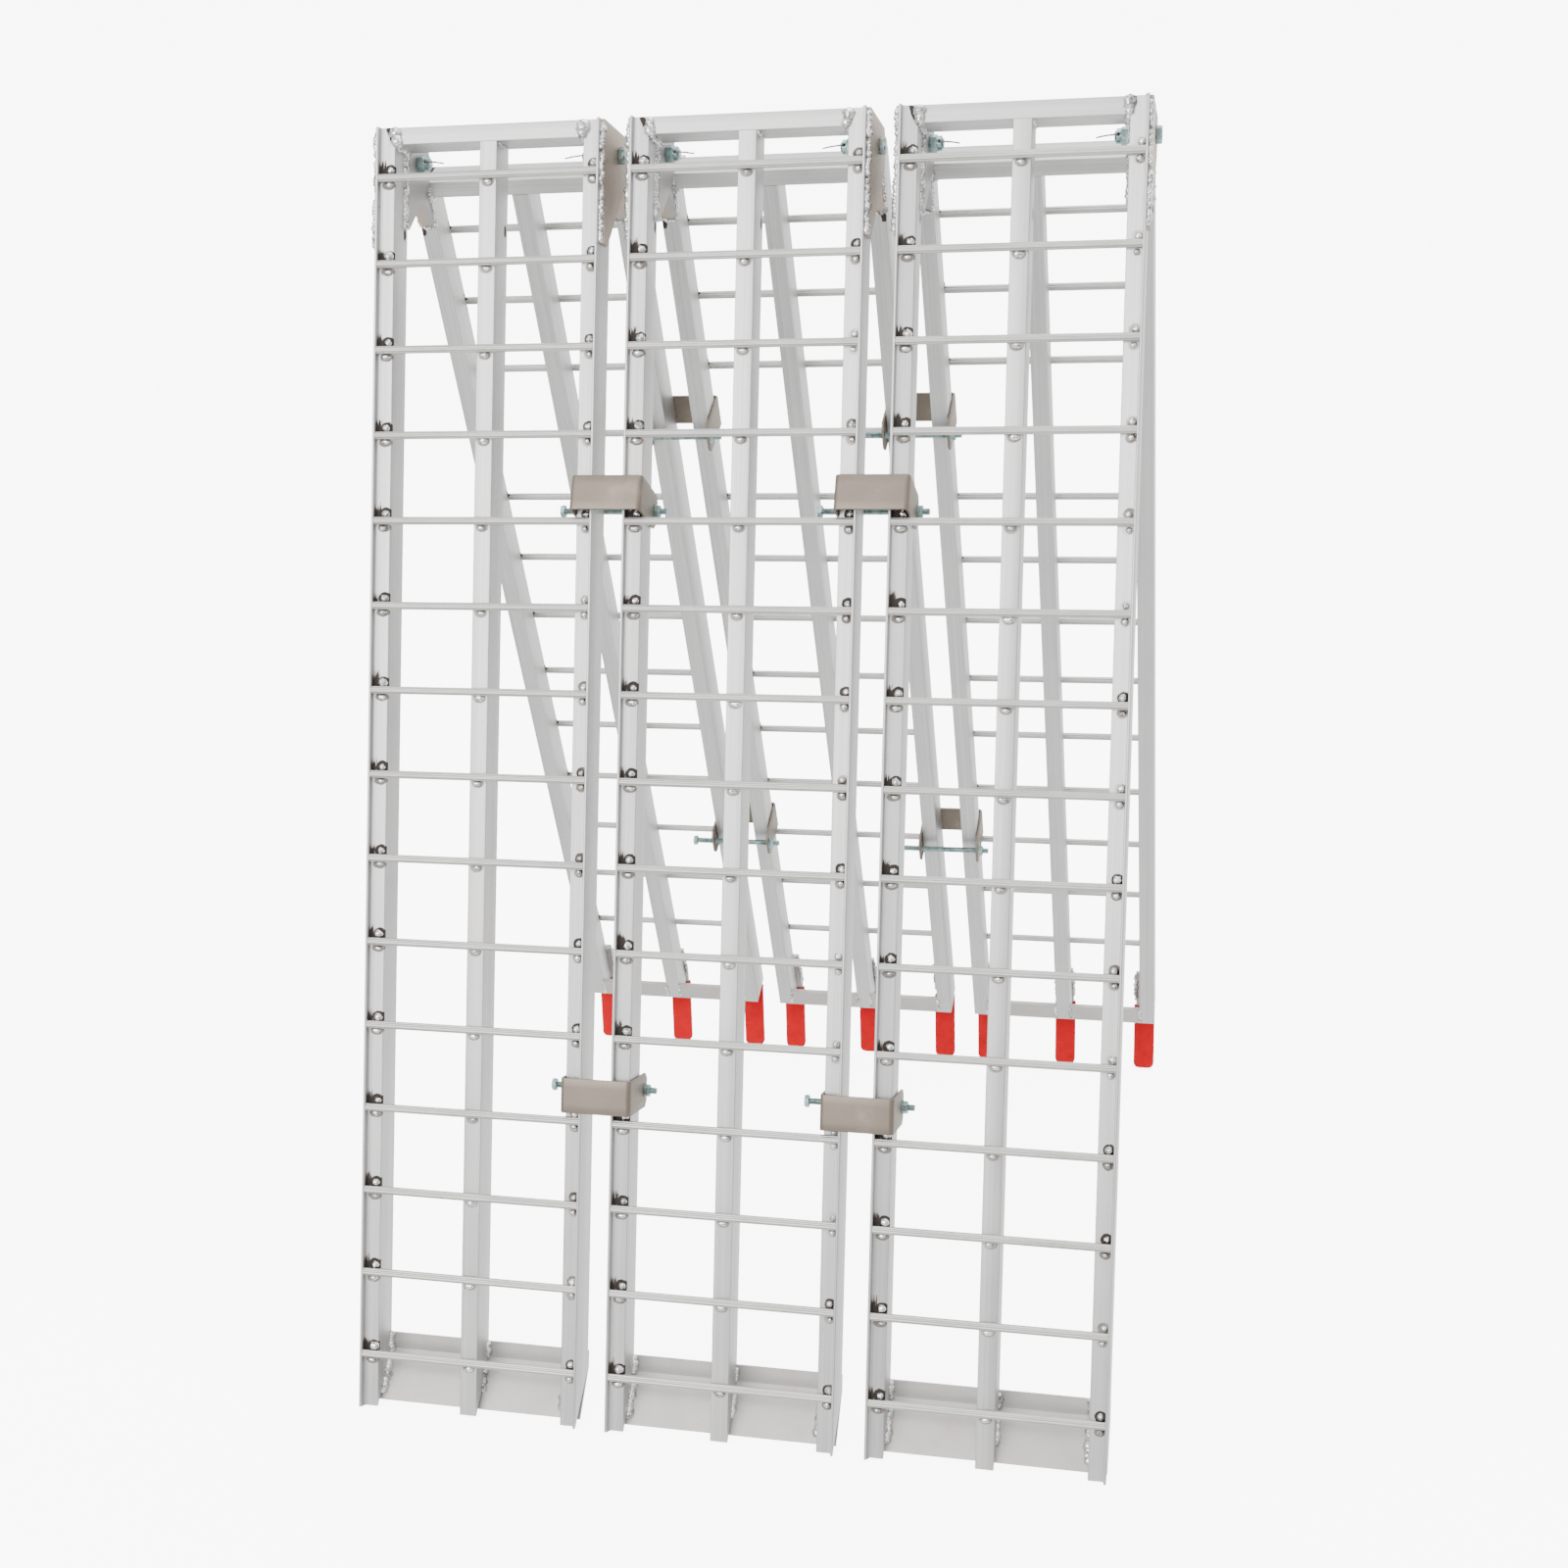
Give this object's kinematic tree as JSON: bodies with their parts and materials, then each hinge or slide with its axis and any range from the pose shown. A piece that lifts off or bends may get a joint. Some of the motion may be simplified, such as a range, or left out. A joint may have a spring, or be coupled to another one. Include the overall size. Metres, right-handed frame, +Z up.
{
  "type": "folding loading ramp",
  "caption": "Folding aluminium loading ramp in side-by-side sections with round rungs, hinged halves, U-brackets across the sections and red rubber tipped fingers.",
  "frame": {"origin": "on the floor, at the centre of the ramp's footprint as it stands open like an A-frame", "axes": "+Z up, +X across the sections along the hinge line, -Y towards the front half with the foot plates"},
  "size_m": [0.91, 1.1087, 1.4688],
  "materials": {
    "extruded_aluminium": "mill finish extrusion with fine lengthwise die lines and weld soot",
    "sheet_aluminium": "dull warm grey sheet with sheared edges",
    "zinc_steel": "bluish zinc plated fasteners",
    "weld_aluminium": "bright rippled weld beads with dark soot beside them",
    "red_rubber": "smooth dipped rubber, slightly glossy"
  },
  "bodies": {
    "front_half": {"left_front_left_rail": "extruded_aluminium", "left_front_center_rail": "extruded_aluminium", "left_front_right_rail": "extruded_aluminium", "left_front_rungs": "extruded_aluminium", "left_front_end_beam": "extruded_aluminium", "left_foot_plate": "sheet_aluminium", "left_hinge_plates": "sheet_aluminium", "middle_front_left_rail": "extruded_aluminium", "middle_front_center_rail": "extruded_aluminium", "middle_front_right_rail": "extruded_aluminium", "middle_front_rungs": "extruded_aluminium", "middle_front_end_beam": "extruded_aluminium", "middle_foot_plate": "sheet_aluminium", "middle_hinge_plates": "sheet_aluminium", "right_front_left_rail": "extruded_aluminium", "right_front_center_rail": "extruded_aluminium", "right_front_right_rail": "extruded_aluminium", "right_front_rungs": "extruded_aluminium", "right_front_end_beam": "extruded_aluminium", "right_foot_plate": "sheet_aluminium", "right_hinge_plates": "sheet_aluminium", "hinge_bolts": "zinc_steel", "hinge_castle_nuts": "zinc_steel", "hinge_cotter_pins": "zinc_steel", "front_left_brackets": "sheet_aluminium", "front_right_brackets": "sheet_aluminium", "front_bracket_bolts": "zinc_steel", "front_bracket_nuts": "zinc_steel"},
    "rear_half": {"left_rear_left_rail": "extruded_aluminium", "left_rear_center_rail": "extruded_aluminium", "left_rear_right_rail": "extruded_aluminium", "left_rear_rungs": "extruded_aluminium", "left_rear_end_beam": "extruded_aluminium", "left_tip_bar": "sheet_aluminium", "left_tip_fingers": "sheet_aluminium", "left_tip_sleeves": "red_rubber", "left_hinge_arms": "sheet_aluminium", "middle_rear_left_rail": "extruded_aluminium", "middle_rear_center_rail": "extruded_aluminium", "middle_rear_right_rail": "extruded_aluminium", "middle_rear_rungs": "extruded_aluminium", "middle_rear_end_beam": "extruded_aluminium", "middle_tip_bar": "sheet_aluminium", "middle_tip_fingers": "sheet_aluminium", "middle_tip_sleeves": "red_rubber", "middle_hinge_arms": "sheet_aluminium", "right_rear_left_rail": "extruded_aluminium", "right_rear_center_rail": "extruded_aluminium", "right_rear_right_rail": "extruded_aluminium", "right_rear_rungs": "extruded_aluminium", "right_rear_end_beam": "extruded_aluminium", "right_tip_bar": "sheet_aluminium", "right_tip_fingers": "sheet_aluminium", "right_tip_sleeves": "red_rubber", "right_hinge_arms": "sheet_aluminium", "rear_left_brackets": "sheet_aluminium", "rear_right_brackets": "sheet_aluminium", "rear_bracket_bolts": "zinc_steel", "rear_bracket_nuts": "zinc_steel"}
  },
  "joints": [
    {"name": "fold", "type": "hinge", "parent": "front_half", "child": "rear_half", "pos_m": [0, -0.06501, 1.42164], "axis": [1, 0, 0], "range_deg": [-38.4, 141.6]}
  ]
}
